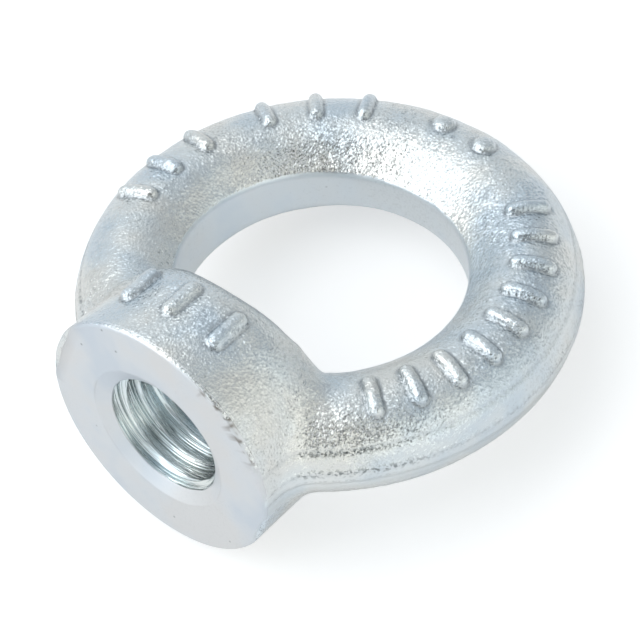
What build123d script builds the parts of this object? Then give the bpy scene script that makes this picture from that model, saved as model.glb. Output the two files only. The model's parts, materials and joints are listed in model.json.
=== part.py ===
from build123d import *
import math
import os

# Lifting eye nut: a drop-forged ring on a round boss with a threaded hole, all in one piece.
#
# Working frame, in millimetres: the ring's centre is the origin, its plane is XY, and the
# hole's axis is Y, with the bearing face at the low end. The forging dies part at Z = 0.
# At the end the finished nut is laid down on its boss and the far end of its ring, with
# +Z up and the origin on the ground, under the middle of its box.

# ---- Driving dimensions -------------------------------------------------------------------

# Ring
ring_outer_diameter = 63.0        # over the round section
ring_section_diameter = 13.8      # round forged section
flash_land_width = 1.6            # trimmed land where the dies met, along Z
flash_land_proud = 0.1            # how far the land stands out of the forging

# Eye, punched out of the forged web
eye_trim = 0.33                   # how deep the punch cuts into the round section
eye_breakout = 0.5                # how much wider the eye is where the punch comes out
eye_offset = 1.18                 # eye centre, from the ring's centre towards the boss
web_draft_angle = 40.0            # slope of the section's inner flanks from the ring's plane

# Boss
boss_diameter = 33.4
face_beyond_ring = 0.35           # how far the bearing face stands beyond the ring's outside
boss_flank = 9.1                  # straight side of the boss, from the bearing face
shoulder_to_section = 0.5063      # rounding at the boss's ring end, over the section's diameter
root_to_section = 0.38            # forged fillet between ring and boss, over the section's diameter
crest_radius = 1.3                # rounding where the boss runs out into the eye
face_edge_radius = 0.5            # broken outer edge of the bearing face

# M18 x 2.5 thread, bored to its minor diameter
thread_diameter = 18.0
thread_pitch = 2.5
countersink_diameter = 20.0
countersink_angle = 120.0         # included

# ---- Sizes that follow from them ----------------------------------------------------------

section_radius = ring_section_diameter / 2
ring_radius = ring_outer_diameter / 2 - section_radius
root_radius = root_to_section * ring_section_diameter
boss_shoulder_radius = shoulder_to_section * ring_section_diameter
eye_diameter = 2 * (ring_radius - section_radius + eye_trim)   # where the punch goes in
boss_radius = boss_diameter / 2
face_to_ring_centre = ring_outer_diameter / 2 + face_beyond_ring
bearing_face_y = -face_to_ring_centre
shoulder_y = bearing_face_y + boss_flank
boss_top_y = shoulder_y + boss_shoulder_radius
thread_depth_ratio = 1.0825       # ISO metric: minor diameter = diameter - 1.0825 x pitch
bore_radius = (thread_diameter - thread_depth_ratio * thread_pitch) / 2
overcut = section_radius          # how far each cutting tool reaches past the solid


def forged_ring():
    """Ring of round section, with drafted flanks running in to the web that is punched out."""
    flank = math.radians(90 + web_draft_angle)
    flank_x = ring_radius + section_radius * math.cos(flank)
    flank_z = section_radius * math.sin(flank)
    web_x = eye_diameter / 2 - eye_offset - overcut / 2
    web_z = flank_z - (flank_x - web_x) * math.tan(math.radians(web_draft_angle))
    with BuildSketch(Plane.XZ) as section:
        with Locations((ring_radius, 0)):
            Circle(section_radius)
        Polygon((flank_x, -flank_z), (flank_x, flank_z), (web_x, web_z), (web_x, -web_z), align=None)
    return revolve(section.sketch, axis=Axis.Z)


def forged_boss():
    """Short round boss with a large rounded shoulder at its ring end."""
    with BuildSketch(Plane.XY) as profile:
        with BuildLine():
            Polyline((0, boss_top_y), (0, bearing_face_y), (boss_radius, bearing_face_y),
                     (boss_radius, shoulder_y))
            JernArc((boss_radius, shoulder_y), (0, 1), boss_shoulder_radius, 90)
            Line((boss_radius - boss_shoulder_radius, boss_top_y), (0, boss_top_y))
        make_face()
        fillet(profile.vertices().sort_by(Axis.Y)[:2].sort_by(Axis.X)[-1], face_edge_radius)
    return revolve(profile.sketch, axis=Axis.Y)


def flash_land():
    """Thin trimmed land that follows the whole outline at the parting plane."""
    with BuildSketch() as outline:
        Circle(ring_outer_diameter / 2 + flash_land_proud)
        with Locations((0, bearing_face_y)):
            Rectangle(boss_diameter + 2 * flash_land_proud, face_to_ring_centre,
                      align=(Align.CENTER, Align.MIN))
        corners = outline.vertices().sort_by(Axis.Y)
        fillet(corners[:2], face_edge_radius)
        roots = [v for v in outline.vertices()
                 if abs(v.X) > boss_radius and v.Y > bearing_face_y + 2 * face_edge_radius]
        fillet(roots, root_radius)
        Circle(ring_radius, mode=Mode.SUBTRACT)
    return extrude(outline.sketch, flash_land_width / 2, both=True)


def eye_punch():
    """Slightly tapered punch that clears the eye."""
    half_height = boss_radius + overcut
    entry_z = section_radius / 2
    taper = eye_breakout / 2 / (2 * entry_z)
    entry_radius = eye_diameter / 2
    wide = entry_radius + taper * (half_height + entry_z)
    narrow = entry_radius - taper * (half_height - entry_z)
    return Pos(0, -eye_offset, 0) * Cone(wide, narrow, 2 * half_height)


def thread_bore():
    """Bore for the thread, countersunk at the bearing face."""
    sink_radius = countersink_diameter / 2
    sink_depth = (sink_radius - bore_radius) / math.tan(math.radians(countersink_angle / 2))
    with BuildSketch(Plane.XY) as profile:
        Polygon(
            (0, bearing_face_y),
            (sink_radius, bearing_face_y),
            (bore_radius, bearing_face_y + sink_depth),
            (bore_radius, boss_top_y + overcut),
            (0, boss_top_y + overcut),
            align=None,
        )
    return revolve(profile.sketch, axis=Axis.Y)


def lying_tilt():
    """Degrees between the ring's plane and the ground, resting on the shoulder and the ring."""
    rise = boss_radius - boss_shoulder_radius
    run = ring_radius - shoulder_y
    extra = math.asin((boss_shoulder_radius - section_radius) / math.hypot(rise, run))
    return math.degrees(math.atan2(rise, run) + extra)


def forge():
    """Ring and boss blended by the forged root, with the flash land left by trimming."""
    blank = forged_ring() + forged_boss()
    roots = [e for e in blank.edges()
             if e.geom_type == GeomType.BSPLINE and e.center().Y < -section_radius]
    return blank.fillet(root_radius, roots) + flash_land()


def pierce(blank):
    """Punch the eye, round the crests it leaves on the boss, then bore and countersink."""
    nut = blank - eye_punch()
    crests = [e for e in nut.edges()
              if e.geom_type == GeomType.BSPLINE and abs(e.center().Z) > section_radius
              and abs(e.center().X) < crest_radius and e.center().Y < 0]
    return nut.fillet(crest_radius, crests) - thread_bore()


def lay_down(nut):
    """Tip the nut onto its shoulder and ring, and set its box over the origin."""
    lying = Rotation(-lying_tilt(), 0, 0) * nut
    box = lying.bounding_box()
    return Pos(-box.center().X, -box.center().Y, -box.min.Z) * lying


eye_nut = lay_down(pierce(forge()))
eye_nut.label = "eye_nut"

os.makedirs("parts", exist_ok=True)
export_step(eye_nut, "parts/eye_nut.step")
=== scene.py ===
"""Lifting eye nut: a zinc plated forging with a machined bearing face and a cut thread."""

import json
import logging
import math
from dataclasses import dataclass
from enum import Enum, IntEnum

import bpy
import numpy as np
from mathutils import Matrix, Vector, noise


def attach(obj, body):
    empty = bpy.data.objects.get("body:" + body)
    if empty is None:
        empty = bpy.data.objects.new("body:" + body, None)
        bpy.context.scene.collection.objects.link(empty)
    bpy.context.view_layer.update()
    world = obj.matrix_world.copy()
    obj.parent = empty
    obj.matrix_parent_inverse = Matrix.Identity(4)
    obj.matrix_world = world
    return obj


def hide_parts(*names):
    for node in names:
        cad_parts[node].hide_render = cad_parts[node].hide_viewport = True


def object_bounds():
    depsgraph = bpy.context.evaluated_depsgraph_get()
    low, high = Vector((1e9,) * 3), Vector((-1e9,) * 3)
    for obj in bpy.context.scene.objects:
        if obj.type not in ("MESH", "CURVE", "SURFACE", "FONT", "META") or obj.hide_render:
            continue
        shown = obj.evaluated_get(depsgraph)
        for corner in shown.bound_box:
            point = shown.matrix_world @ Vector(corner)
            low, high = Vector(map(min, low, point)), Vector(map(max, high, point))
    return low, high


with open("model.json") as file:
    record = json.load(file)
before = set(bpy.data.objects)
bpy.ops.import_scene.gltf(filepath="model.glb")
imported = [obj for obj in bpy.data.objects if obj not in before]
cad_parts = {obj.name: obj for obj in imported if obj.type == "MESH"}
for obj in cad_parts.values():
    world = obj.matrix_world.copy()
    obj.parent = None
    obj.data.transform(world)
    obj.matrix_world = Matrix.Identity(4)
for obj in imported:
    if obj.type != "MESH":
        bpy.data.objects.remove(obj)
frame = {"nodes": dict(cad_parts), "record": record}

CAD_LOW, CAD_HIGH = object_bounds()
LOG = logging.getLogger("eye_nut")
MM = 0.001
TINY = 1e-6
NODE = "eye_nut"
ZINC = (0.78, 0.80, 0.81, 1.0)
WHITE = (1.0, 1.0, 1.0, 1.0)
MIX_AMOUNT, MIX_FIRST, MIX_SECOND, MIX_RESULT = 0, 6, 7, 2

Point = tuple[float, float, float]
Color = tuple[float, float, float, float]
Feed = bpy.types.NodeSocket | float | tuple | Vector
Feeds = dict[str | int, Feed]


class MarkShape(Enum):
    """Plain shapes of the raised marks."""

    BAR = "bar"
    PIP = "pip"


class Skin(IntEnum):
    """Zones of the forging, in the order of its material slots."""

    BLASTED = 0
    PRESSED = 1
    TRIMMED = 2
    PUNCHED = 3


class Cut(IntEnum):
    """Machined surfaces, in the order of their material slots."""

    TURNED = 0
    THREAD = 1
    PUNCHED = 2


# ---- Smooth changes and noise -------------------------------------------------------------


@dataclass(frozen=True)
class Fade:
    """A smooth change from 0 at one value to 1 at another."""

    none: float
    full: float

    def at(self, value: np.ndarray) -> np.ndarray:
        """How far the change has gone at each value."""
        t = np.clip((value - self.none) / (self.full - self.none), 0.0, 1.0)
        return t * t * (3.0 - 2.0 * t)


@dataclass(frozen=True)
class Hump:
    """A smooth hump of height 1 around one value."""

    centre: float
    width: float

    def at(self, value: np.ndarray) -> np.ndarray:
        """The hump's height at each value."""
        return np.exp(-(((value - self.centre) / self.width) ** 2))


@dataclass(frozen=True)
class Stretch:
    """A stretch that fades in and out at its ends."""

    rising: Fade
    falling: Fade

    def at(self, value: np.ndarray) -> np.ndarray:
        """1 within the stretch, 0 outside it."""
        return self.rising.at(value) * (1.0 - self.falling.at(value))


@dataclass(frozen=True)
class NoiseLayer:
    """Fractal noise with its largest wave length in mm, finer layers and pattern."""

    wave: float
    octaves: int
    seed: float
    drop: float = 1.0
    finer: float = 2.0

    def at(self, points: np.ndarray) -> np.ndarray:
        """The noise at each point.

        Args:
            points: places in mm.

        Returns:
            One value for each point, about -1 to 1.
        """
        shift = Vector((self.seed, self.seed * 0.37, -self.seed))
        places = (Vector(p) / self.wave + shift for p in points)
        return np.array([noise.fractal(p, self.drop, self.finer, self.octaves) for p in places])


# ---- Where the nut's own axes lie ---------------------------------------------------------


@dataclass(frozen=True)
class NutAxes:
    """The nut's own frame, in which its ring lies in XY and its hole runs along Y."""

    origin: Vector
    matrix: Matrix

    @classmethod
    def from_record(cls, record: dict, eye_offset: float) -> "NutAxes":
        """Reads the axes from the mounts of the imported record.

        Args:
            record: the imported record.
            eye_offset: the eye centre's distance from the ring's centre, in millimetres.

        Returns:
            The nut's frame in the row's frame.
        """
        mounts = {m["name"]: m for m in record["mounts"]}
        along = -Vector(mounts["thread"]["axis"]).normalized()
        upward = -Vector(mounts["eye"]["axis"]).normalized()
        across = along.cross(upward)
        origin = Vector(mounts["eye"]["pos_m"]) + along * eye_offset * MM
        turn = Matrix((across, along, upward)).transposed()
        return cls(origin, turn)

    def to_row(self, points: np.ndarray) -> np.ndarray:
        """Turns points of the nut's frame, in mm, into the row's frame, in metres."""
        return points * MM @ np.array(self.matrix).T + np.array(self.origin)

    def from_row(self, points: np.ndarray) -> np.ndarray:
        """Turns points of the row's frame, in metres, into the nut's frame, in mm."""
        return (points - np.array(self.origin)) @ np.array(self.matrix) / MM

    def place(self, point: Point) -> Vector:
        """Gives one point of the nut's frame, in mm, in the row's frame."""
        return self.origin + self.matrix @ (Vector(point) * MM)


@dataclass(frozen=True)
class NutSizes:
    """Sizes of the nut, in millimetres and degrees."""

    ring_radius: float = 24.6
    section_radius: float = 6.9
    boss_radius: float = 16.7
    face_y: float = -31.85
    edge_radius: float = 0.5
    sink_radius: float = 10.0
    sink_half_angle: float = 60.0
    thread_major: float = 9.0
    thread_minor: float = 7.646875
    pitch: float = 2.5
    eye_offset: float = 1.18
    eye_radius: float = 18.155
    eye_taper: float = 0.03623

    def eye_wall_y(self, x: np.ndarray, z: np.ndarray) -> np.ndarray:
        """Y of the eye's wall on the boss side, above the point (x, z)."""
        radius = self.eye_radius - self.eye_taper * z
        return -self.eye_offset - np.sqrt(np.maximum(radius**2 - x**2, 0.0))

    def beyond_eye(self, p: np.ndarray) -> np.ndarray:
        """Distance of each point outside the eye's wall, negative inside the eye."""
        wall = self.eye_radius - self.eye_taper * p[:, 2]
        return np.hypot(p[:, 0], p[:, 1] + self.eye_offset) - wall

    def beyond_ring(self, p: np.ndarray) -> np.ndarray:
        """Distance of each point outside the ring's middle circle, seen along its axis."""
        return np.hypot(p[:, 0], p[:, 1]) - self.ring_radius

    def sink_cone(self, y: np.ndarray) -> np.ndarray:
        """Radius of the countersink at each distance along the hole's axis."""
        slope = math.tan(math.radians(self.sink_half_angle))
        return self.sink_radius - (y - self.face_y) * slope


# ---- Meshes and objects -------------------------------------------------------------------


def new_object(name: str, data: bpy.types.ID) -> bpy.types.Object:
    """Makes an object of a mesh, a lamp or a camera, and puts it into the scene.

    Args:
        name: the object's name.
        data: what it shows.

    Returns:
        The object.
    """
    made = bpy.data.objects.new(name, data)
    bpy.context.scene.collection.objects.link(made)
    return made


def read_vectors(items: bpy.types.bpy_prop_collection, name: str) -> np.ndarray:
    """Reads one vector of every item of a mesh.

    Args:
        items: the mesh's vertices or faces.
        name: the vector's name.

    Returns:
        The vectors, one in a row.
    """
    flat = np.zeros(len(items) * 3)
    items.foreach_get(name, flat)
    return flat.reshape(-1, 3)


def add_layer(mesh: bpy.types.Mesh, name: str, values: np.ndarray) -> None:
    """Keeps one value for each vertex of a mesh, for its materials to read."""
    layer = mesh.attributes.new(name, "FLOAT", "POINT")
    layer.data.foreach_set("value", values.astype(np.float32))


# ---- Node trees ---------------------------------------------------------------------------


def feed(tree: bpy.types.NodeTree, node: bpy.types.Node, feeds: Feeds) -> None:
    """Feeds inputs of a node.

    Args:
        tree: the node tree.
        node: the node.
        feeds: each input, by name or number, and the socket or plain value it gets.
    """
    for key, value in feeds.items():
        if isinstance(value, bpy.types.NodeSocket):
            tree.links.new(value, node.inputs[key])
        else:
            node.inputs[key].default_value = value


def add_node(
    tree: bpy.types.NodeTree,
    kind: str,
    feeds: Feeds | None = None,
    **settings: str | bpy.types.NodeTree,
) -> bpy.types.Node:
    """Adds a node, sets it up and feeds its inputs.

    Args:
        tree: the node tree.
        kind: the node's type.
        feeds: each input, by name or number, and the socket or plain value it gets.
        settings: the node's own settings, such as its operation.

    Returns:
        The new node.
    """
    node = tree.nodes.new(kind)
    for name, setting in settings.items():
        setattr(node, name, setting)
    feed(tree, node, feeds or {})
    return node


def combined(tree: bpy.types.NodeTree, operation: str, *values: Feed) -> bpy.types.NodeSocket:
    """Combines sockets and numbers by one math node, and gives its result."""
    feeds = dict(enumerate(values))
    return add_node(tree, "ShaderNodeMath", feeds, operation=operation).outputs[0]


def mixed(
    tree: bpy.types.NodeTree, amount: Feed, first: Feed, second: Feed, blend: str = "MIX"
) -> bpy.types.NodeSocket:
    """Mixes two colours.

    Args:
        tree: the node tree.
        amount: how much of the second colour shows.
        first: the first colour.
        second: the second colour.
        blend: how they mix.

    Returns:
        The mixed colour's socket.
    """
    feeds = {MIX_AMOUNT: amount, MIX_FIRST: first, MIX_SECOND: second}
    mix = add_node(tree, "ShaderNodeMix", data_type="RGBA", blend_type=blend)
    feed(tree, mix, feeds)
    return mix.outputs[MIX_RESULT]


# ---- Shared shader effects ----------------------------------------------------------------


class ShaderGroups:
    """Node groups that several finishes share."""

    def __init__(self, bore_axis: Vector) -> None:
        """Builds every group once.

        Args:
            bore_axis: the bore's axis, for the lines around it.
        """
        self.bore_axis = bore_axis
        self.grain = self._grain()
        self.facets = self._facets()
        self.bloom = self._bloom()
        self.specks = self._specks()
        self.tool_lines = self._tool_lines()
        self.die_line = self._die_line()

    @staticmethod
    def _new(
        name: str, inputs: dict[str, float | Color], outputs: dict[str, str]
    ) -> tuple[bpy.types.NodeTree, bpy.types.NodeOutputs, bpy.types.Node]:
        """Makes an empty group with named sockets.

        Args:
            name: the group's name.
            inputs: each input and its default, a number or a colour.
            outputs: each output and its kind of socket.

        Returns:
            The tree, the sockets that bring its inputs, and its output node.
        """
        tree = bpy.data.node_groups.new(name, "ShaderNodeTree")
        for key, value in inputs.items():
            kind = "NodeSocketColor" if isinstance(value, tuple) else "NodeSocketFloat"
            socket = tree.interface.new_socket(name=key, in_out="INPUT", socket_type=kind)
            socket.default_value = value
        for key, kind in outputs.items():
            tree.interface.new_socket(name=key, in_out="OUTPUT", socket_type=kind)
        given = tree.nodes.new("NodeGroupInput").outputs
        return tree, given, tree.nodes.new("NodeGroupOutput")

    @staticmethod
    def _texture(
        tree: bpy.types.NodeTree, kind: str, output: str, **feeds: Feed
    ) -> bpy.types.NodeSocket:
        """Adds a texture in the object's own coordinates.

        Args:
            tree: the group's tree.
            kind: the texture's name.
            output: the output that is wanted.
            feeds: the texture's inputs.

        Returns:
            That output's socket.
        """
        coords = tree.nodes.new("ShaderNodeTexCoord")
        feeds["Vector"] = coords.outputs["Object"]
        return add_node(tree, f"ShaderNodeTex{kind}", feeds).outputs[output]

    @staticmethod
    def _ranged(tree: bpy.types.NodeTree, value: Feed, **limits: Feed) -> bpy.types.NodeSocket:
        """Maps a value to another range.

        Args:
            tree: the group's tree.
            value: the value.
            limits: the limits that aren't 0 or 1, such as From_Min.

        Returns:
            The mapped value's socket.
        """
        feeds = {key.replace("_", " "): limit for key, limit in limits.items()}
        feeds["Value"] = value
        return add_node(tree, "ShaderNodeMapRange", feeds).outputs["Result"]

    @staticmethod
    def _vector(tree: bpy.types.NodeTree, operation: str, feeds: Feeds) -> bpy.types.NodeSocket:
        """Adds a vector math node and gives its vector."""
        return add_node(tree, "ShaderNodeVectorMath", feeds, operation=operation).outputs[0]

    def _grain(self) -> bpy.types.NodeTree:
        """Blasted forging grain, as a height and a mask of dark pits.

        Returns:
            The group's tree.
        """
        tree, given, result = self._new(
            "blasted_grain",
            {"Scale": 2200.0, "Pits": 0.5},
            {"Height": "NodeSocketFloat", "Pit Mask": "NodeSocketFloat"},
        )
        cell_share = 0.55
        patch_share = 0.45
        scale = given["Scale"]
        fine = self._texture(tree, "Noise", "Fac", Scale=scale, Detail=5.0, Roughness=0.62)
        cells = self._texture(tree, "Voronoi", "Distance", Scale=scale)
        patch = self._texture(tree, "Noise", "Fac", Scale=75.0, Detail=2.0)
        height = combined(tree, "MULTIPLY_ADD", cells, cell_share, fine)
        shade = combined(tree, "MULTIPLY_ADD", patch, patch_share, fine)
        deep = self._ranged(tree, shade, From_Min=0.80, From_Max=0.92)
        pits = combined(tree, "MULTIPLY", deep, given["Pits"])
        feed(tree, result, {"Height": height, "Pit Mask": pits})
        return tree

    def _facets(self) -> bpy.types.NodeTree:
        """Tiny facets of the blasted skin, as a normal that tilts from grain to grain.

        Returns:
            The group's tree.
        """
        tree, given, result = self._new(
            "grain_facets", {"Scale": 3800.0, "Tilt": 0.5}, {"Normal": "NodeSocketVector"}
        )
        middle = (0.5, 0.5, 0.5)
        cells = self._texture(tree, "Voronoi", "Color", Scale=given["Scale"])
        patches = self._texture(tree, "Noise", "Fac", Scale=130.0, Detail=2.0)
        uneven = self._ranged(
            tree, patches, From_Min=0.35, From_Max=0.65, To_Min=0.45, To_Max=1.55
        )
        amount = combined(tree, "MULTIPLY", uneven, given["Tilt"])
        even = tree.nodes.new("ShaderNodeNewGeometry").outputs["Normal"]
        centred = self._vector(tree, "SUBTRACT", {0: cells, 1: middle})
        tilted = self._vector(tree, "SCALE", {0: centred, "Scale": amount})
        added = self._vector(tree, "ADD", {0: even, 1: tilted})
        feed(tree, result, {"Normal": self._vector(tree, "NORMALIZE", {0: added})})
        return tree

    def _specks(self) -> bpy.types.NodeTree:
        """Sparse small dark specks, as a mask.

        Returns:
            The group's tree.
        """
        tree, given, result = self._new(
            "small_specks", {"Scale": 330.0, "Amount": 0.6}, {"Mask": "NodeSocketFloat"}
        )
        cells = self._texture(tree, "Voronoi", "Distance", Scale=given["Scale"])
        spot = self._ranged(tree, cells, From_Min=0.03, From_Max=0.07, To_Min=1.0, To_Max=0.0)
        feed(tree, result, {"Mask": combined(tree, "MULTIPLY", spot, given["Amount"])})
        return tree

    def _tool_lines(self) -> bpy.types.NodeTree:
        """Fine lines that a cutting tool leaves round a bore, as a height.

        Returns:
            The group's tree.
        """
        tree, given, result = self._new(
            "tool_lines", {"Scale": 3000.0}, {"Height": "NodeSocketFloat"}
        )
        coords = tree.nodes.new("ShaderNodeTexCoord")
        feeds = {0: coords.outputs["Object"], 1: self.bore_axis}
        along = add_node(tree, "ShaderNodeVectorMath", feeds, operation="DOT_PRODUCT")
        travel = combined(tree, "MULTIPLY", along.outputs["Value"], given["Scale"])
        lines = add_node(tree, "ShaderNodeTexNoise", noise_dimensions="1D")
        feed(tree, lines, {"W": travel, "Scale": 1.0, "Detail": 3.0})
        feed(tree, result, {"Height": lines.outputs["Fac"]})
        return tree

    def _die_line(self) -> bpy.types.NodeTree:
        """Broken dark line that the dies leave at one level, as a mask.

        Returns:
            The group's tree.
        """
        tree, given, result = self._new(
            "die_line",
            {"Height": 0.0, "Reach": 0.0, "Level": 0.0, "Width": 0.4, "Amount": 0.7},
            {"Mask": "NodeSocketFloat"},
        )
        away = combined(tree, "SUBTRACT", given["Height"], given["Level"])
        distance = combined(tree, "ABSOLUTE", away)
        near = self._ranged(tree, distance, From_Max=given["Width"], To_Min=1.0, To_Max=0.0)
        noisy = self._texture(tree, "Noise", "Fac", Scale=2400.0, Detail=3.0)
        dots = self._ranged(tree, noisy, From_Min=0.5, From_Max=0.58)
        mask = combined(tree, "MULTIPLY", near, dots)
        for factor in (given["Reach"], given["Amount"]):
            mask = combined(tree, "MULTIPLY", mask, factor)
        feed(tree, result, {"Mask": mask})
        return tree

    def _bloom(self) -> bpy.types.NodeTree:
        """Faint blue and straw tints that drift over zinc plate.

        Returns:
            The group's tree.
        """
        tree, given, result = self._new(
            "zinc_bloom",
            {"Scale": 90.0, "Amount": 0.2, "Zinc": ZINC},
            {"Color": "NodeSocketColor"},
        )
        blue = (0.74, 0.84, 0.92, 1.0)
        clear = (0.95, 0.975, 0.965, 1.0)
        straw = (1.0, 0.96, 0.89, 1.0)
        drift = self._texture(tree, "Noise", "Fac", Scale=given["Scale"], Detail=3.0)
        ramp = add_node(tree, "ShaderNodeValToRGB", {"Fac": drift})
        stops = ramp.color_ramp.elements
        stops[0].position, stops[0].color = 0.38, blue
        stops[1].position, stops[1].color = 0.62, straw
        stops.new(0.5).color = clear
        tint = ramp.outputs["Color"]
        color = mixed(tree, given["Amount"], given["Zinc"], tint, "MULTIPLY")
        feed(tree, result, {"Color": color})
        return tree


# ---- Finishes -----------------------------------------------------------------------------


@dataclass(frozen=True)
class DieLine:
    """One dark line of the dies: its level and width in mm, and how dark it is."""

    level: float
    width: float
    amount: float


@dataclass(frozen=True)
class ZincFinish:
    """One finish of the zinc plate, with its depths in millimetres."""

    name: str
    roughness: float
    grain_scale: float
    grain_depth: float
    pits: float
    bloom: float
    zinc: Color = ZINC
    tilt: float = 0.0
    specks: float = 0.0
    line_depth: float = 0.0
    scarred_and_shaded: bool = False
    paints_hollow_shade: bool = False
    die_lines: tuple[DieLine, ...] = ()
    # Colour of the painted shade in the grooves and creases and along the boss's crest, with
    # some zinc pooling at the marks.
    hollow_shade_color: Color = (0.36, 0.39, 0.41, 1.0)
    pit_color: Color = (0.17, 0.19, 0.19, 1.0)
    # Colour of the rim's wear, also used for the painted shade along the countersink's edge.
    scar_and_shade_color: Color = (0.30, 0.28, 0.26, 1.0)

    def build(self, groups: ShaderGroups) -> bpy.types.Material:
        """Makes the material.

        Args:
            groups: the shared node groups.

        Returns:
            The finished material.
        """
        material = bpy.data.materials.new(self.name)
        material.use_nodes = True
        tree = material.node_tree
        grain = self._group(tree, groups.grain, Scale=self.grain_scale, Pits=self.pits)
        bloom = self._group(tree, groups.bloom, Amount=self.bloom, Zinc=self.zinc)
        mask = self._dark_mask(tree, groups, grain.outputs["Pit Mask"])
        color = mixed(tree, mask, bloom.outputs["Color"], self.pit_color)
        # Wear of the knocked rim, and painted shade along the countersink's edge.
        if self.scarred_and_shaded:
            color = mixed(tree, self._layer(tree, "scar_and_shade"), color, self.scar_and_shade_color)
        # Painted shade in grooves, creases and along the crest, with some zinc pooling.
        if self.paints_hollow_shade:
            color = mixed(tree, self._layer(tree, "hollow_shade_and_pooling"), color, self.hollow_shade_color)
        feeds = {
            "Metallic": 1.0,
            "Roughness": self.roughness,
            "Base Color": color,
            "Normal": self._normal(tree, groups, grain),
        }
        feed(tree, tree.nodes["Principled BSDF"], feeds)
        return material

    @staticmethod
    def _group(
        tree: bpy.types.NodeTree, group: bpy.types.NodeTree, **values: Feed
    ) -> bpy.types.Node:
        """Adds a shared group.

        Args:
            tree: the material's node tree.
            group: the shared group.
            values: what its inputs get.

        Returns:
            The group's node.
        """
        node = add_node(tree, "ShaderNodeGroup", node_tree=group)
        feed(tree, node, values)
        return node

    @staticmethod
    def _layer(tree: bpy.types.NodeTree, name: str) -> bpy.types.NodeSocket:
        """Reads a layer of the mesh."""
        return add_node(tree, "ShaderNodeAttribute", attribute_name=name).outputs["Fac"]

    def _dark_mask(
        self, tree: bpy.types.NodeTree, groups: ShaderGroups, mask: bpy.types.NodeSocket
    ) -> bpy.types.NodeSocket:
        """Adds the finish's specks and die lines to the mask of pits.

        Args:
            tree: the material's node tree.
            groups: the shared node groups.
            mask: the grain's pit mask.

        Returns:
            The socket of the joined mask.
        """
        others = []
        if self.specks:
            others.append(self._group(tree, groups.specks, Amount=self.specks))
        for line in self.die_lines:
            node = self._group(
                tree,
                groups.die_line,
                Height=self._layer(tree, "die_height"),
                Reach=self._layer(tree, "die_reach"),
                Level=line.level,
                Width=line.width,
                Amount=line.amount,
            )
            others.append(node)
        for other in others:
            mask = combined(tree, "MAXIMUM", other.outputs["Mask"], mask)
        return mask

    def _normal(
        self, tree: bpy.types.NodeTree, groups: ShaderGroups, grain: bpy.types.Node
    ) -> bpy.types.NodeSocket:
        """Joins facets, grain and tool lines into one normal.

        Args:
            tree: the material's node tree.
            groups: the shared node groups.
            grain: the finish's grain group.

        Returns:
            The normal's socket.
        """
        feeds = {"Distance": self.grain_depth * MM, "Height": grain.outputs["Height"]}
        if self.tilt:
            facets = self._group(tree, groups.facets, Tilt=self.tilt)
            feeds["Normal"] = facets.outputs["Normal"]
        bump = add_node(tree, "ShaderNodeBump", feeds)
        if not self.line_depth:
            return bump.outputs["Normal"]
        lines = self._group(tree, groups.tool_lines)
        feeds = {
            "Distance": self.line_depth * MM,
            "Height": lines.outputs["Height"],
            "Normal": bump.outputs["Normal"],
        }
        return add_node(tree, "ShaderNodeBump", feeds).outputs["Normal"]


DIE_LINES = (DieLine(3.35, 0.65, 0.8), DieLine(0.6, 0.8, 0.95), DieLine(-0.6, 0.25, 0.3))
BLASTED = ZincFinish(
    name="forged_zinc",
    roughness=0.12,
    grain_scale=2700.0,
    grain_depth=0.09,
    pits=0.3,
    bloom=0.7,
    tilt=0.3,
    paints_hollow_shade=True,
    die_lines=DIE_LINES,
)
PRESSED = ZincFinish(
    name="pressed_zinc",
    roughness=0.2,
    grain_scale=3400.0,
    grain_depth=0.055,
    pits=0.25,
    bloom=0.7,
    tilt=0.22,
    paints_hollow_shade=True,
    die_lines=DIE_LINES,
)
TRIMMED = ZincFinish(
    name="trimmed_zinc",
    roughness=0.28,
    grain_scale=2600.0,
    grain_depth=0.012,
    pits=0.1,
    bloom=0.6,
    paints_hollow_shade=True,
    die_lines=DIE_LINES,
)
# A lighter copy of the zinc: partly the punched wall's own finish, partly painted light that
# lifts the eye's shaded inner wall.
PUNCHED = ZincFinish(
    name="punched_zinc_with_painted_light",
    roughness=0.36,
    grain_scale=2600.0,
    grain_depth=0.01,
    pits=0.1,
    bloom=0.3,
    zinc=(0.76, 0.81, 0.85, 1.0),
    specks=0.3,
)
TURNED = ZincFinish(
    name="turned_zinc",
    roughness=0.48,
    grain_scale=3000.0,
    grain_depth=0.008,
    pits=0.05,
    bloom=0.45,
    zinc=(0.72, 0.732, 0.756, 1.0),
    specks=0.6,
    scarred_and_shaded=True,
)
THREAD = ZincFinish(
    name="thread_zinc",
    roughness=0.15,
    grain_scale=3000.0,
    grain_depth=0.01,
    pits=0.1,
    bloom=0.5,
    zinc=(0.82, 0.87, 0.88, 1.0),
    line_depth=0.3,
)


# ---- The forging --------------------------------------------------------------------------


@dataclass(frozen=True)
class RingMark:
    """One raised mark on the ring, at an angle about the ring's axis."""

    angle: float
    shape: MarkShape
    circle_out: float


@dataclass(frozen=True)
class MarkGroup:
    """A run of like marks along the ring, in degrees and millimetres."""

    start: float
    step: float
    count: int
    shape: MarkShape
    circle_out: float

    def marks(self) -> list[RingMark]:
        """Lists the group's marks."""
        angles = (self.start + self.step * i for i in range(self.count))
        return [RingMark(angle, self.shape, self.circle_out) for angle in angles]


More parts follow.
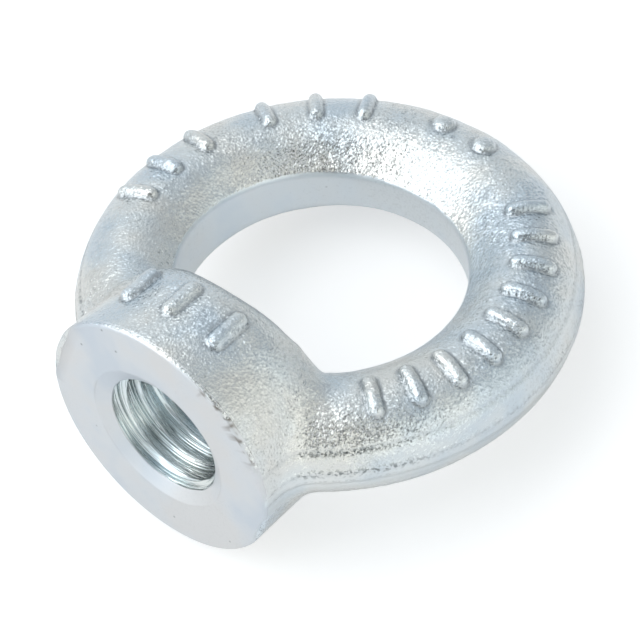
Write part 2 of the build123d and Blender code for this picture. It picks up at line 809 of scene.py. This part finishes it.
@dataclass
class Forging:
    """Ring and boss as forged, with plain raised marks and a blasted skin.

    Lengths are in millimetres and angles in degrees. The z values are distances from the
    plane where the dies met, and the reaches are distances out from the ring's middle
    circle.
    """

    axes: NutAxes
    sizes: NutSizes
    voxel: float = 0.28
    triangle_limit: int = 190_000

    mark_groups: tuple[MarkGroup, ...] = (
        MarkGroup(-166.0, -13.0, 3, MarkShape.BAR, 1.7),
        MarkGroup(118.0, 14.5, 3, MarkShape.BAR, 1.7),
        MarkGroup(80.0, 14.5, 2, MarkShape.PIP, 1.7),
        MarkGroup(-38.0, 11.2, 9, MarkShape.BAR, 0.9),
    )
    mark_height: float = 0.85
    bar_half_length: float = 1.9
    bar_radius: float = 0.95
    pip_radius: float = 1.6
    ring_start_y: float = -19.0
    ring_mark_share: float = 0.5
    boss_marks: tuple[float, ...] = (117.0, 93.0, 69.0)
    boss_mark_y: float = -24.0
    boss_bar_radius: float = 1.15
    boss_end_y: float = -19.5
    outline: Hump = Hump(0.1, 0.26)
    outline_depth: float = 0.08
    # Painted shade, with some zinc pooling, in the groove round each mark.
    outline_shade_and_pooling: float = 0.8

    grain: NoiseLayer = NoiseLayer(0.9, 3, 3.7)
    grain_height: float = 0.035
    swell: NoiseLayer = NoiseLayer(6.0, 2, 11.0)
    swell_height: float = 0.08
    wall_edge: Fade = Fade(0.1, 0.45)
    band_reach: Fade = Fade(3.6, 4.6)
    band_top: float = 3.4
    band_top_fade: float = 0.25
    band_middle: float = 0.5
    band_middle_fade: float = 0.2
    band_roughness: float = 0.4
    blasted_above: float = 0.7
    pressed_above: float = 0.2

    corner_rise: float = 1.08
    corner_high: Hump = Hump(-55.4, 3.8)
    corner_dip: float = 0.4
    corner_low: Hump = Hump(-49.2, 1.6)
    corner_reach: Hump = Hump(0.0, 2.2)
    corner_level: Fade = Fade(1.5, 4.0)
    # Painted shade along the boss's crest beside the punched eye.
    crest_line: Hump = Hump(0.6, 0.6)
    crest_start: Fade = Fade(-13.5, -15.5)
    crest_level: Fade = Fade(3.5, 5.5)
    crest_painted_shade: float = 0.6

    die_reach: Fade = Fade(3.0, 4.4)
    die_start: Fade = Fade(31.0, 35.0)
    die_clear: Fade = Fade(66.0, 50.0)
    die_faint: float = 0.25
    seam_z: float = -1.3
    crease_depth: float = 0.1
    crease_widths: tuple[float, ...] = (0.28, 0.24, 0.2)
    crease_shares: tuple[float, ...] = (0.8, 1.1, 0.6)
    crease_break: NoiseLayer = NoiseLayer(0.8, 2, 23.0)
    crease_even: float = 0.55
    crease_uneven: float = 0.9
    # Painted shade in the creases for each mm of depth, and the limit of all the painted shade.
    crease_painted_shade: float = 2.6
    darkest_shade: float = 0.75

    face_inset: float = 0.18
    bore_clearance: float = 0.35
    bore_end_y: float = -14.0

    def _marks(self, p: np.ndarray) -> tuple[np.ndarray, np.ndarray]:
        """Raised marks and the groove where each one meets the skin, which also gets painted
        shade and some zinc pooling.

        Args:
            p: points in the nut's frame.

        Returns:
            The lift of each point in mm, and how much it lies in that groove, 0 to 1, which
            also sets its painted shade and zinc pooling.
        """
        lift, hollow_shade_and_pooling = np.zeros(len(p)), np.zeros(len(p))
        angle = np.degrees(np.arctan2(p[:, 1], p[:, 0]))
        radial = np.hypot(p[:, 0], p[:, 1])
        low = self.sizes.section_radius * self.ring_mark_share
        on_ring = (p[:, 2] > low) & (p[:, 1] > self.ring_start_y)
        for mark in (mark for group in self.mark_groups for mark in group.marks()):
            turn = (angle - mark.angle + 180.0) % 360.0 - 180.0
            is_bar = mark.shape is MarkShape.BAR
            reach = self.bar_half_length if is_bar else 0.0
            half_width = self.bar_radius if is_bar else self.pip_radius
            out = np.abs(radial - self.sizes.ring_radius - mark.circle_out) - reach
            up, edge = self._dome(np.radians(turn) * radial, out, half_width)
            lift = np.maximum(lift, up * on_ring)
            hollow_shade_and_pooling = np.maximum(hollow_shade_and_pooling, edge * on_ring)
        around = np.degrees(np.arctan2(p[:, 2], p[:, 0]))
        rho = np.hypot(p[:, 0], p[:, 2])
        on_boss = (p[:, 2] > 0.0) & (p[:, 1] < self.boss_end_y)
        for centre in self.boss_marks:
            out = np.abs(p[:, 1] - self.boss_mark_y) - self.bar_half_length
            up, edge = self._dome(np.radians(around - centre) * rho, out, self.boss_bar_radius)
            lift = np.maximum(lift, up * on_boss)
            hollow_shade_and_pooling = np.maximum(hollow_shade_and_pooling, edge * on_boss)
        return lift, hollow_shade_and_pooling

    def _dome(
        self, across: np.ndarray, beyond: np.ndarray, half_width: float
    ) -> tuple[np.ndarray, np.ndarray]:
        """One round-topped mark and its outline.

        Args:
            across: distance from the mark's middle line.
            beyond: distance past the end of that line, negative alongside it.
            half_width: half of the mark's width.

        Returns:
            The height at each point, and the outline from 0 to 1.
        """
        distance = np.hypot(across, np.maximum(beyond, 0.0))
        height = self.mark_height * np.sqrt(np.clip(1.0 - (distance / half_width) ** 2, 0, 1))
        return height, self.outline.at(distance - half_width)

    def _roughness(self, p: np.ndarray) -> np.ndarray:
        """How rough the skin is at each point.

        Args:
            p: points in the nut's frame.

        Returns:
            1 on the blasted skin, less on the pressed band, 0 where the nut was trimmed
            or punched.
        """
        wall = self.wall_edge.at(np.abs(self.sizes.beyond_eye(p)))
        reach = self.band_reach.at(self.sizes.beyond_ring(p))
        top = Fade(self.band_top - self.band_top_fade, self.band_top)
        middle = Fade(self.band_middle - self.band_middle_fade, self.band_middle)
        trimmed = self.band_roughness * middle.at(p[:, 2])
        band = np.maximum(top.at(np.abs(p[:, 2])), trimmed)
        return wall * (1.0 - reach * (1.0 - band))

    def _corner(self, p: np.ndarray) -> np.ndarray:
        """Fuller metal where the boss's crest runs down to the ring, with a sharp end.

        Args:
            p: points in the nut's frame.

        Returns:
            How far each point moves away from the ring's plane, in mm.
        """
        angle = np.degrees(np.arctan2(p[:, 1] + self.sizes.eye_offset, np.abs(p[:, 0])))
        rise = self.corner_rise * self.corner_high.at(angle)
        dip = self.corner_dip * self.corner_low.at(angle)
        near = self.corner_reach.at(np.maximum(self.sizes.beyond_eye(p), 0.0))
        return (rise - dip) * near * self.corner_level.at(np.abs(p[:, 2]))

    def _crest_shade_line(self, p: np.ndarray) -> np.ndarray:
        """Painted shade: a thin darker line along the boss's crest, where its skin ends at the
        punched eye, 0 to 1.
        """
        line = self.crest_line.at(self.sizes.beyond_eye(p)) * self.crest_start.at(p[:, 1])
        return line * self.crest_level.at(np.abs(p[:, 2]))

    def _die_wear(self, p: np.ndarray) -> np.ndarray:
        """How clearly the dies' lines show: well beside the boss, faintly beyond.

        Args:
            p: points in the nut's frame.

        Returns:
            A mask from 0 to 1.
        """
        from_boss = np.abs(np.degrees(np.arctan2(p[:, 0], -p[:, 1])))
        clear = self.die_faint + (1.0 - self.die_faint) * self.die_clear.at(from_boss)
        outside = self.die_reach.at(self.sizes.beyond_ring(p))
        return outside * clear * self.die_start.at(from_boss)

    def _creases(self, p: np.ndarray) -> np.ndarray:
        """Creases that the dies leave along the ring's outer band, whose depth also sets the
        painted shade in them.

        Args:
            p: points in the nut's frame.

        Returns:
            The depth of each point in mm.
        """
        broken = self.crease_even + self.crease_uneven * self.crease_break.at(p)
        levels = (self.band_top, self.band_middle, self.seam_z)
        upper, middle, seam = (
            share * Hump(level, width).at(p[:, 2])
            for level, width, share in zip(levels, self.crease_widths, self.crease_shares)
        )
        outside = self.die_reach.at(self.sizes.beyond_ring(p))
        return self.crease_depth * outside * (upper + middle * broken + seam)

    def build(self, finishes: list[bpy.types.Material]) -> bpy.types.Object:
        """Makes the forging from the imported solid's own form.

        Args:
            finishes: a finish for each zone of the skin, in the order of Skin.

        Returns:
            The finished piece.
        """
        piece = new_object("forging", frame["nodes"][NODE].data.copy())
        piece.data.materials.clear()
        self._apply(piece, "REMESH", mode="VOXEL", voxel_size=self.voxel * MM, adaptivity=0.0)
        self._shape(piece.data)
        piece.data.calc_loop_triangles()
        share = self.triangle_limit / len(piece.data.loop_triangles)
        self._apply(piece, "DECIMATE", ratio=min(1.0, share))
        for finish in finishes:
            piece.data.materials.append(finish)
        self._finish_faces(piece.data)
        return piece

    @staticmethod
    def _apply(piece: bpy.types.Object, kind: str, **settings: str | float) -> None:
        """Applies one modifier to a piece.

        Args:
            piece: the piece, which gets a new mesh.
            kind: the modifier's type.
            settings: the modifier's own settings.
        """
        modifier = piece.modifiers.new(kind.lower(), kind)
        for name, setting in settings.items():
            setattr(modifier, name, setting)
        depsgraph = bpy.context.evaluated_depsgraph_get()
        mesh = bpy.data.meshes.new_from_object(piece.evaluated_get(depsgraph))
        piece.modifiers.clear()
        piece.data = mesh

    def _shape(self, mesh: bpy.types.Mesh) -> None:
        """Raises marks and skin on the mesh, keeps a layer of painted shade and zinc pooling
        for the skin's colour, and makes room for the machined surfaces.

        Args:
            mesh: the evenly meshed solid.
        """
        p = self.axes.from_row(read_vectors(mesh.vertices, "co"))
        n = read_vectors(mesh.vertices, "normal") @ np.array(self.axes.matrix)
        grain = self.grain.at(p) * self.grain_height
        skin = (grain + self.swell.at(p) * self.swell_height) * self._roughness(p)
        raised, hollow_shade_and_pooling = self._marks(p)
        crease = self._creases(p)
        crest = self._crest_shade_line(p)
        # Painted shade: the marks' grooves (with some zinc pooling), the creases and the boss's
        # crest are made darker through this layer.
        dark = self.outline_shade_and_pooling * hollow_shade_and_pooling + self.crease_painted_shade * crease + self.crest_painted_shade * crest
        layers = {
            "die_height": p[:, 2],
            "die_reach": self._die_wear(p),
            "hollow_shade_and_pooling": np.clip(dark, 0.0, self.darkest_shade),
        }
        corner = self._corner(p)
        lift = raised - self.outline_depth * hollow_shade_and_pooling - crease
        p = p + n * (skin + lift)[:, None]
        p[:, 2] += corner * np.sign(p[:, 2])
        self._open_bore(p)
        mesh.vertices.foreach_set("co", self.axes.to_row(p).ravel())
        for name, values in layers.items():
            add_layer(mesh, name, values)
        mesh.update()

    def _open_bore(self, p: np.ndarray) -> None:
        """Widens the bore and sets back the face, so that the machined surfaces show.

        Args:
            p: points in the nut's frame, which are moved.
        """
        rho = np.hypot(p[:, 0], p[:, 2])
        cone = self.sizes.sink_cone(p[:, 1])
        bore = np.maximum(self.sizes.thread_major, cone) + self.bore_clearance
        in_bore = (rho < bore) & (p[:, 1] < self.bore_end_y)
        scale = np.where(in_bore, bore / np.maximum(rho, TINY), 1.0)
        p[:, 0] *= scale
        p[:, 2] *= scale
        p[:, 1] = np.maximum(p[:, 1], self.sizes.face_y + self.face_inset)

    def _finish_faces(self, mesh: bpy.types.Mesh) -> None:
        """Gives each zone of the skin its finish and shades every face smoothly.

        Args:
            mesh: the shaped mesh.
        """
        p = self.axes.from_row(read_vectors(mesh.polygons, "center"))
        rough = self._roughness(p)
        outside = np.hypot(p[:, 0], p[:, 1]) > self.sizes.ring_radius
        zone = np.where(outside, Skin.TRIMMED, Skin.PUNCHED)
        zone = np.where((rough > self.pressed_above) & outside, Skin.PRESSED, zone)
        zone = np.where(rough > self.blasted_above, Skin.BLASTED, zone)
        mesh.polygons.foreach_set("material_index", zone.astype(np.int32))
        mesh.polygons.foreach_set("use_smooth", np.ones(len(p), bool))
        mesh.update()


# ---- The machined surfaces ----------------------------------------------------------------


@dataclass
class MachinedFace:
    """Bearing face, countersink and cut thread, down to where the bore meets the eye.

    Lengths are in millimetres and angles, about the hole's axis, in degrees.
    """

    axes: NutAxes
    sizes: NutSizes
    around: int = 288
    face_rows: int = 8
    thread_rows: int = 190
    thread_steps: int = 2
    edge_rows: int = 6
    proud: float = 0.02
    skirt: float = 0.12
    collar: float = 0.55
    collar_rows: int = 4
    cone_slack: float = 0.01

    trimmed: Stretch = Stretch(Fade(136.0, 150.0), Fade(166.0, 178.0))
    trimmed_depth: float = 0.75
    worn: Stretch = Stretch(Fade(-32.0, -24.0), Fade(-18.0, -10.0))
    worn_depth: float = 0.4
    nick_centre: float = 40.0
    nick_end: Fade = Fade(14.0, 24.0)
    nick_waves: float = 9.0
    nick_seed: float = 2.0
    nick_depth: float = 0.5
    burred: Stretch = Stretch(Fade(8.0, 30.0), Fade(118.0, 134.0))
    burr_waves: float = 26.0
    burr_seed: float = 5.0
    burr_depth: float = 0.16

    scar_start: float = 0.75
    scar_full: float = 0.4
    scar_noise: NoiseLayer = NoiseLayer(0.6, 3, 41.0)
    scar_patch: Fade = Fade(0.0, 0.4)
    rim_near: Fade = Fade(1.0, 0.1)
    rim_start: Fade = Fade(120.0, 150.0)
    rim_tone: float = 0.3
    # Painted shade along the countersink's edge, heavier on one side of the circle.
    sink_width: float = 0.09
    sink_noise: NoiseLayer = NoiseLayer(5.0, 2, 17.0)
    sink_patch: Fade = Fade(-0.3, 0.4)
    sink_even: float = 0.6
    sink_shade: float = 0.3

    lead_start: float = 0.8
    lead: Fade = Fade(0.0, 0.45)
    crest_flat: float = 0.125
    root_flat: float = 0.25

    @staticmethod
    def _rim_noise(turn: np.ndarray, waves: float, seed: float) -> np.ndarray:
        """Noise that runs round the rim and meets itself.

        Args:
            turn: the angle of each point, in radians.
            waves: how fine it is.
            seed: shifts the pattern.

        Returns:
            One value for each point, about -1 to 1.
        """
        places = ((math.cos(t) * waves, math.sin(t) * waves, seed) for t in turn)
        return np.array([noise.noise(Vector(place)) for place in places])

    def _rim(self, turn: np.ndarray) -> np.ndarray:
        """Outer radius of the face, with its trimmed corner, nicks and burrs.

        Args:
            turn: the angle of each point, in radians.

        Returns:
            The radius at each point.
        """
        degrees = np.degrees(turn)
        radius = np.full_like(turn, self.sizes.boss_radius + self.proud)
        radius -= self.trimmed_depth * self.trimmed.at(degrees)
        radius -= self.worn_depth * self.worn.at(degrees)
        nicks = np.clip(self._rim_noise(turn, self.nick_waves, self.nick_seed), 0.0, 1.0)
        radius -= self.nick_depth * nicks * self._nicked(turn)
        fine = 0.5 + 0.5 * self._rim_noise(turn, self.burr_waves, self.burr_seed)
        return radius - self.burr_depth * fine * self.burred.at(degrees)

    def _nicked(self, turn: np.ndarray) -> np.ndarray:
        """1 along the knocked stretch of the rim, 0 elsewhere."""
        return 1.0 - self.nick_end.at(np.abs(np.degrees(turn) - self.nick_centre))

    def _scar_and_painted_shade(self, points: np.ndarray, turn: np.ndarray) -> np.ndarray:
        """How dark the knocked or trimmed rim is at each point, with painted shade in a thin
        line along the countersink's edge, heavier on one side.

        Args:
            points: points in the nut's frame.
            turn: the angle of each point.

        Returns:
            A mask from 0 to 1.
        """
        radius = np.hypot(points[:, 0], points[:, 2])
        boss = self.sizes.boss_radius
        near = Fade(boss - self.scar_start, boss - self.scar_full).at(radius)
        patch = self.scar_patch.at(self.scar_noise.at(points))
        rim = self.rim_near.at(self._rim(turn) - radius) * self.rim_start.at(np.degrees(turn))
        # Painted shade: a thin line along the countersink's edge, heavier on one side.
        sink = Hump(self.sizes.sink_radius, self.sink_width).at(radius)
        sink *= self.sink_patch.at(self.sink_noise.at(points))
        sink *= self.sink_even + (1.0 - self.sink_even) * np.sin(turn)
        marked = np.maximum(self.rim_tone * rim, self.sink_shade * sink)
        return np.maximum(near * patch * self._nicked(turn), marked)

    def _thread_radius(self, y: np.ndarray, turn: np.ndarray) -> np.ndarray:
        """Radius of the thread, opened by the countersink at its start.

        Args:
            y: distance along the hole's axis.
            turn: angle about that axis, in radians.

        Returns:
            The radius at each point.
        """
        phase = (y / self.sizes.pitch + turn / math.tau) % 1.0
        flank = 1.0 - self.crest_flat - self.root_flat
        rise = np.abs(phase - 0.5) * 2.0
        depth = np.clip((rise - self.root_flat) / flank, 0.0, 1.0)
        span = self.sizes.thread_major - self.sizes.thread_minor
        lead = self.lead.at(y - self.sizes.face_y - self.lead_start)
        cut = self.sizes.thread_minor + span * (1.0 - depth) * lead
        return np.maximum(cut, self.sizes.sink_cone(y))

    def _kind(self, row: int, start: int, rows: int, on_cone: bool) -> Cut:
        """Which finish a face has.

        Args:
            row: the index of its first ring.
            start: the index of the thread's first ring.
            rows: the number of rings.
            on_cone: True where it lies on the countersink.

        Returns:
            The finish.
        """
        if row >= rows - self.collar_rows - 1:
            return Cut.PUNCHED
        return Cut.THREAD if row >= start and not on_cone else Cut.TURNED

    def _on_cone(self, points: np.ndarray) -> np.ndarray:
        """True where a point lies on the countersink."""
        gap = np.hypot(points[:, 0], points[:, 2]) - self.sizes.sink_cone(points[:, 1])
        return np.abs(gap) < self.cone_slack

    def _rows(self, turn: np.ndarray) -> tuple[list[np.ndarray], int]:
        """Rings of points from the boss's side to the eye's wall.

        Args:
            turn: the angles of the points in a ring.

        Returns:
            The rings, and the index of the first ring of the thread.
        """
        s = self.sizes
        rim = self._rim(turn)
        cos, sin = np.cos(turn), np.sin(turn)

        def ring(radius: np.ndarray, y: np.ndarray | float) -> np.ndarray:
            """One ring of points at a radius and a distance along the axis."""
            return np.stack([radius * cos, y + 0.0 * cos, radius * sin], 1)

        full = s.boss_radius + self.proud
        rows = [ring(full + 0.0 * turn, s.face_y + s.edge_radius + self.skirt)]
        for i in range(self.edge_rows + 1):
            a = 0.5 * math.pi * i / self.edge_rows
            inset = s.edge_radius * (1.0 - math.cos(a))
            rows.append(ring(rim - inset, s.face_y + s.edge_radius * (1.0 - math.sin(a))))
        inner = rim - s.edge_radius
        for i in range(1, self.face_rows + 1):
            share = 1.0 - (1.0 - i / self.face_rows) ** 2
            rows.append(ring(inner + (s.sink_radius - inner) * share, s.face_y))
        start = len(rows)
        for i in range(1, self.thread_rows + 1):
            share = i / self.thread_rows
            y = np.full_like(turn, s.face_y)
            for _ in range(self.thread_steps):
                radius = self._thread_radius(y, turn)
                end = s.eye_wall_y(radius * cos, radius * sin)
                y = s.face_y + (end - s.face_y) * share
            rows.append(ring(self._thread_radius(y, turn), y))
        last = self._thread_radius(rows[-1][:, 1], turn)
        outer = s.thread_major + self.collar
        for i in range(1, self.collar_rows + 1):
            radius = last + (outer - last) * i / self.collar_rows
            rows.append(ring(radius, s.eye_wall_y(radius * cos, radius * sin) + self.proud))
        return rows, start

    def build(self, finishes: list[bpy.types.Material]) -> bpy.types.Object:
        """Makes the machined surfaces as one mesh.

        Args:
            finishes: a finish for each surface, in the order of Cut.

        Returns:
            The finished piece.
        """
        turn = np.linspace(-math.pi, math.pi, self.around, endpoint=False)
        rows, start = self._rows(turn)
        points = np.concatenate(rows)
        cone = self._on_cone(points)
        faces, kinds = [], []
        for r in range(len(rows) - 1):
            a, b = r * self.around, (r + 1) * self.around
            for k in range(self.around):
                nxt = (k + 1) % self.around
                faces.append((a + k, b + k, b + nxt, a + nxt))
                kinds.append(self._kind(r, start, len(rows), bool(cone[a + k])))
        mesh = bpy.data.meshes.new("machined_surfaces")
        mesh.from_pydata(self.axes.to_row(points).tolist(), [], faces)
        for finish in finishes:
            mesh.materials.append(finish)
        mesh.polygons.foreach_set("material_index", kinds)
        mesh.polygons.foreach_set("use_smooth", [True] * len(faces))
        # Wear of the rim and painted shade along the countersink's edge, for the turned finish.
        add_layer(mesh, "scar_and_shade", self._scar_and_painted_shade(points, np.tile(turn, len(rows))))
        mesh.update()
        return new_object("machined_surfaces", mesh)


# ---- Studio -------------------------------------------------------------------------------


@dataclass(frozen=True)
class Lobe:
    """A value that changes smoothly around one direction of the surroundings.

    The change starts at the outer angle from the side and is complete at the inner one,
    both in degrees.
    """

    side: Point
    outer: float
    inner: float
    away: float
    towards: float

    def add(self, tree: bpy.types.NodeTree, looking: Feed) -> bpy.types.NodeSocket:
        """Adds the lobe to the world.

        Args:
            tree: the world's node tree.
            looking: the direction that is looked in.

        Returns:
            The value's socket.
        """
        feeds = {0: looking, 1: Vector(self.side).normalized()}
        angle = add_node(tree, "ShaderNodeVectorMath", feeds, operation="DOT_PRODUCT")
        feeds = {
            "Value": angle.outputs["Value"],
            "From Min": math.cos(math.radians(self.outer)),
            "From Max": math.cos(math.radians(self.inner)),
            "To Min": self.away,
            "To Max": self.towards,
        }
        kind = "ShaderNodeMapRange"
        change = add_node(tree, kind, feeds, interpolation_type="SMOOTHSTEP")
        return change.outputs["Result"]


@dataclass(frozen=True)
class Lamp:
    """A soft square lamp that points at the nut, with its sizes in metres and watts."""

    name: str
    place: Point
    side: float
    power: float

    def build(self) -> None:
        """Adds the lamp to the scene."""
        data = bpy.data.lights.new(self.name, "AREA")
        data.shape = "SQUARE"
        data.size = self.side
        data.energy = self.power
        lamp = new_object(self.name, data)
        lamp.location = self.place
        aim = (CAD_LOW + CAD_HIGH) / 2 - Vector(self.place)
        lamp.rotation_euler = aim.to_track_quat("-Z", "Y").to_euler()


@dataclass
class Studio:
    """Pale floor, soft surroundings, lamps and the camera."""

    axes: NutAxes
    camera_place: Point = (155.295, -166.399, 227.778)
    azimuth: float = 43.4
    elevation: float = 45.78
    roll: float = -5.03
    lens: float = 145.94
    nearest: float = 0.01
    farthest: float = 10.0

    floor_half: float = 1.5
    floor_color: Color = (0.68, 0.68, 0.68, 1.0)
    floor_roughness: float = 0.9
    floor_glow: float = 0.5
    floor_gleam: float = 0.285

    world_front: float = 0.92
    world_back: float = 0.5
    cool: Color = (0.87, 0.935, 0.985, 1.0)
    warm: Color = (0.955, 0.985, 0.955, 1.0)
    warm_side: Lobe = Lobe((1.0, -0.1, -0.3), 100.0, 40.0, 0.0, 1.0)
    bright_sides: tuple[Lobe, ...] = (
        Lobe((-0.38, -0.62, 0.68), 52.0, 34.0, 0.0, 0.28),
        Lobe((1.0, -0.05, 0.05), 66.0, 30.0, 0.0, 0.3),
        Lobe((-0.66, 0.60, 0.45), 45.0, 15.0, 0.0, 0.26),
    )
    dark_side: Lobe = Lobe((0.49, -0.43, 0.75), 25.0, 18.5, 1.0, 0.0)
    lamps: tuple[Lamp, ...] = (
        Lamp("key", (-0.26, -0.28, 0.40), 0.42, 0.85),
        Lamp("top", (-0.18, 0.06, 0.50), 0.30, 0.28),
        Lamp("side", (0.42, -0.10, 0.16), 0.22, 0.06),
    )

    def build(self) -> None:
        """Sets up the floor, the world, the lamps and the camera."""
        self._floor()
        self._world()
        for lamp in self.lamps:
            lamp.build()
        self._camera()
        bpy.context.scene.view_settings.view_transform = "Standard"

    def _floor(self) -> None:
        """Lays a wide plain floor that keeps the nut's shadow."""
        half = self.floor_half
        corners = [(-half, -half, 0), (half, -half, 0), (half, half, 0), (-half, half, 0)]
        mesh = bpy.data.meshes.new("floor")
        mesh.from_pydata(corners, [], [(0, 1, 2, 3)])
        floor = new_object("floor", mesh)
        material = bpy.data.materials.new("pale_floor")
        material.use_nodes = True
        tree = material.node_tree
        shader = tree.nodes["Principled BSDF"]
        feeds = {
            "Base Color": self.floor_color,
            "Roughness": self.floor_roughness,
            "Specular IOR Level": 0.0,
        }
        feed(tree, shader, feeds)
        path = tree.nodes.new("ShaderNodeLightPath").outputs
        seen = combined(tree, "MULTIPLY", path["Is Camera Ray"], self.floor_glow)
        mirrored = combined(tree, "MULTIPLY", path["Is Glossy Ray"], self.floor_gleam)
        strength = combined(tree, "MAXIMUM", seen, mirrored)
        glow = add_node(tree, "ShaderNodeEmission", {"Color": WHITE, "Strength": strength})
        both = add_node(tree, "ShaderNodeAddShader", {0: shader.outputs[0], 1: glow.outputs[0]})
        feed(tree, tree.nodes["Material Output"], {"Surface": both.outputs[0]})
        mesh.materials.append(material)

    def _world(self) -> None:
        """Surrounds the nut with soft light, on a white background for the camera."""
        world = bpy.data.worlds.new("studio")
        bpy.context.scene.world = world
        world.use_nodes = True
        tree = world.node_tree
        looking = tree.nodes.new("ShaderNodeTexCoord").outputs["Generated"]
        split = add_node(tree, "ShaderNodeSeparateXYZ", {"Vector": looking})
        feeds = {
            "Value": split.outputs["Y"],
            "From Min": -1.0,
            "To Min": self.world_front,
            "To Max": self.world_back,
        }
        strength = add_node(tree, "ShaderNodeMapRange", feeds).outputs["Result"]
        for lobe in self.bright_sides:
            strength = combined(tree, "ADD", strength, lobe.add(tree, looking))
        strength = combined(tree, "MULTIPLY", strength, self.dark_side.add(tree, looking))
        tint = mixed(tree, self.warm_side.add(tree, looking), self.cool, self.warm)
        soft = tree.nodes["Background"]
        feed(tree, soft, {"Color": tint, "Strength": strength})
        white = add_node(tree, "ShaderNodeBackground", {"Color": WHITE})
        path = tree.nodes.new("ShaderNodeLightPath").outputs
        feeds = {0: path["Is Camera Ray"], 1: soft.outputs[0], 2: white.outputs[0]}
        mix = add_node(tree, "ShaderNodeMixShader", feeds)
        feed(tree, tree.nodes["World Output"], {"Surface": mix.outputs[0]})

    def _camera(self) -> None:
        """Adds the camera, looking down on the nut's bearing face and ring."""
        a, e, r = (math.radians(v) for v in (self.azimuth, self.elevation, self.roll))
        back = Vector((math.sin(a) * math.cos(e), -math.cos(a) * math.cos(e), math.sin(e)))
        level = Vector((math.cos(a), math.sin(a), 0.0))
        rise = back.cross(level)
        right = level * math.cos(r) + rise * math.sin(r)
        up = rise * math.cos(r) - level * math.sin(r)
        turn = Matrix([self.axes.matrix @ v for v in (right, up, back)]).transposed()
        data = bpy.data.cameras.new("camera")
        data.lens = self.lens
        data.clip_start = self.nearest
        data.clip_end = self.farthest
        camera = new_object("camera", data)
        place = self.axes.place(self.camera_place)
        camera.matrix_world = Matrix.Translation(place) @ turn.to_4x4()
        bpy.context.scene.camera = camera


def main() -> None:
    """Builds the nut and its studio."""
    logging.basicConfig(level=logging.INFO, format="%(name)s: %(message)s")
    sizes = NutSizes()
    axes = NutAxes.from_record(frame["record"], sizes.eye_offset)
    groups = ShaderGroups(axes.matrix.col[1])
    wall = PUNCHED.build(groups)

    skins = [finish.build(groups) for finish in (BLASTED, PRESSED, TRIMMED)]
    forging = Forging(axes, sizes).build([*skins, wall])
    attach(forging, "root")
    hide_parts(NODE)
    LOG.info("forging: %d faces", len(forging.data.polygons))

    cuts = [finish.build(groups) for finish in (TURNED, THREAD)]
    machined = MachinedFace(axes, sizes).build([*cuts, wall])
    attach(machined, "root")
    LOG.info("machined surfaces: %d faces", len(machined.data.polygons))

    Studio(axes).build()


if __name__ == "__main__":
    main()
